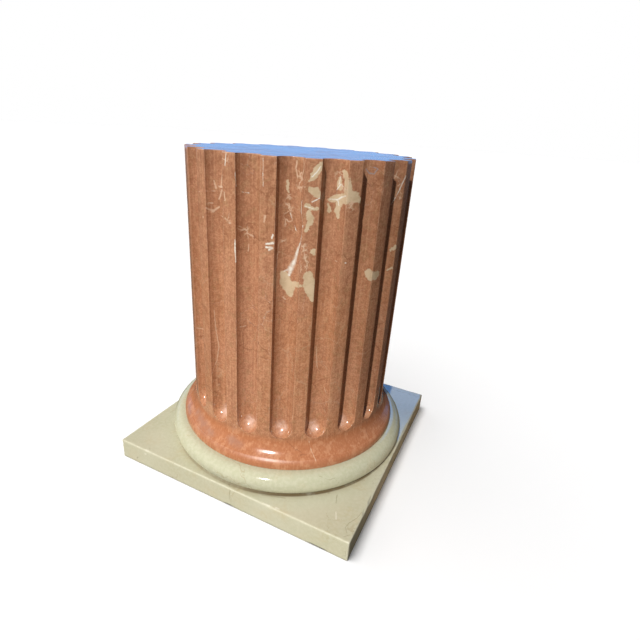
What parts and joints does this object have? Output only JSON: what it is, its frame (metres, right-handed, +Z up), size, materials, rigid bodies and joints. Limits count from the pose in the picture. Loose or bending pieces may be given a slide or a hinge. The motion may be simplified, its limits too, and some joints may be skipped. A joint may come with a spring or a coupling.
{
  "type": "marble pedestal column",
  "caption": "Short fluted marble column on a half-round torus and a square plinth, cut off flat on top to carry a statue, an urn or a table top.",
  "frame": {"origin": "centre of the plinth's underside, on the ground", "axes": "+Z up along the column's axis, X and Y square to the plinth's faces"},
  "size_m": [0.6, 0.6, 0.7306],
  "materials": {
    "cream_marble": "polished",
    "red_marble": "polished"
  },
  "bodies": {
    "root": {"plinth": "cream_marble", "torus": "cream_marble", "fluted_shaft": "red_marble"}
  },
  "joints": []
}
